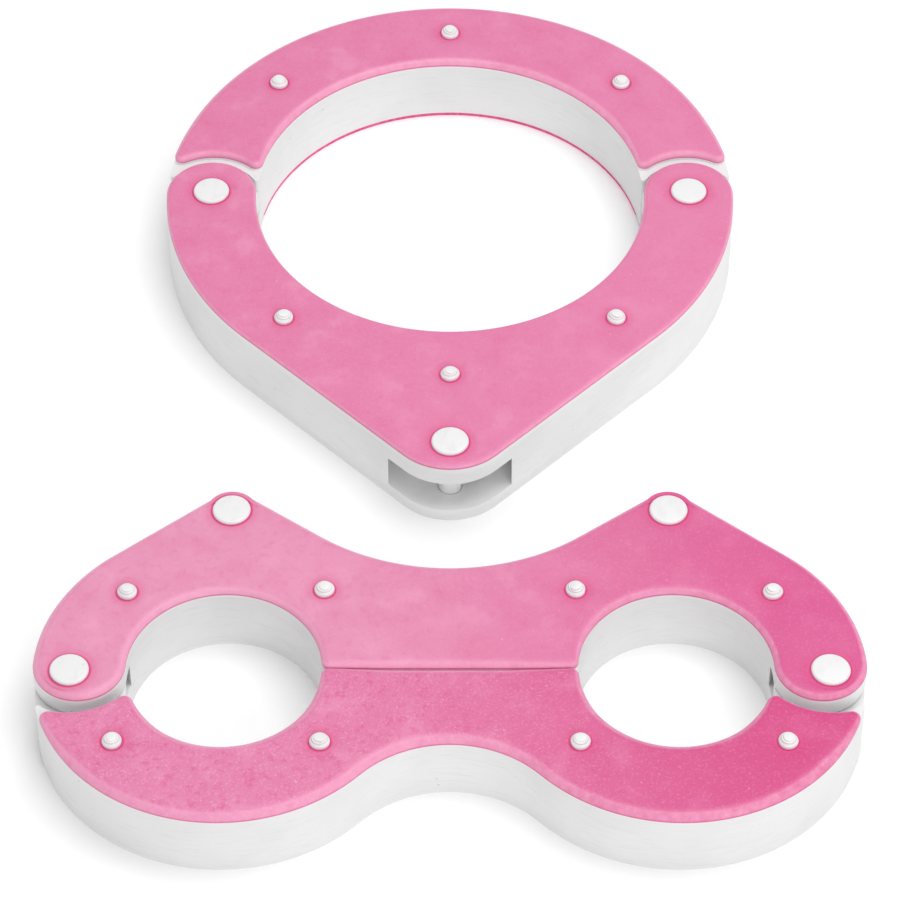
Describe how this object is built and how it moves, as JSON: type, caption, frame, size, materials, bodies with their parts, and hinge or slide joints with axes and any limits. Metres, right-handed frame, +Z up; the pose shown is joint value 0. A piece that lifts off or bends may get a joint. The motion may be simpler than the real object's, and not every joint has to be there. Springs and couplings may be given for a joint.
{
  "type": "hinged ring set",
  "caption": "Matched set of a hinged collar ring and a hinged double ring, each a pair of pinned half rings cut from layered pink and white board.",
  "frame": {"origin": "middle of the set's footprint, on the surface that it lies on", "axes": "+Z up out of the boards' coloured faces, +Y from the double ring towards the collar ring, +X to the right with the collar away from the viewer"},
  "size_m": [0.2508, 0.3582, 0.0274],
  "materials": {
    "white_core": "satin white foamed plastic board, smooth sawn and sanded walls",
    "pink_collar_panel": "satin pink plastic sheet with a fine pebbled face and a rounded rim",
    "pink_cuff_panel": "satin deeper pink plastic sheet with a fine pebbled face and a rounded rim",
    "white_hardware": "smooth white moulded plastic"
  },
  "bodies": {
    "collar_yoke": {"yoke_core": "white_core", "yoke_top_panel": "pink_collar_panel", "yoke_bottom_panel": "pink_collar_panel", "yoke_rivet_bushes": "white_hardware", "yoke_rivet_studs": "white_hardware", "collar_hinge_pin": "white_hardware", "collar_lock_pin": "white_hardware", "collar_anchor_pin": "white_hardware", "collar_pin_retainers": "white_hardware"},
    "collar_arch": {"arch_core": "white_core", "arch_top_panel": "pink_collar_panel", "arch_bottom_panel": "pink_collar_panel", "arch_rivet_bushes": "white_hardware", "arch_rivet_studs": "white_hardware"},
    "cuff_rear": {"cuff_rear_core": "white_core", "cuff_rear_top_panel": "pink_cuff_panel", "cuff_rear_bottom_panel": "pink_cuff_panel", "cuff_rear_rivet_bushes": "white_hardware", "cuff_rear_rivet_studs": "white_hardware", "cuff_hinge_pin": "white_hardware", "cuff_lock_pin": "white_hardware", "cuff_anchor_pin_left": "white_hardware", "cuff_anchor_pin_right": "white_hardware", "cuff_pin_retainers": "white_hardware"},
    "cuff_front": {"cuff_front_core": "white_core", "cuff_front_top_panel": "pink_cuff_panel", "cuff_front_bottom_panel": "pink_cuff_panel", "cuff_front_rivet_bushes": "white_hardware", "cuff_front_rivet_studs": "white_hardware"}
  },
  "joints": [
    {"name": "collar_hinge", "type": "hinge", "parent": "collar_yoke", "child": "collar_arch", "pos_m": [-0.0799, 0.0843, 0.0125], "axis": [0, 0, 1], "range_deg": [0, 50]},
    {"name": "cuff_lift", "type": "slide", "parent": "collar_yoke", "child": "cuff_rear", "axis": [0, 0, 1], "range_m": [0, 0.1]},
    {"name": "cuff_hinge", "type": "hinge", "parent": "cuff_rear", "child": "cuff_front", "pos_m": [-0.1141, -0.1235, 0.0125], "axis": [0, 0, -1], "range_deg": [0, 80]}
  ]
}
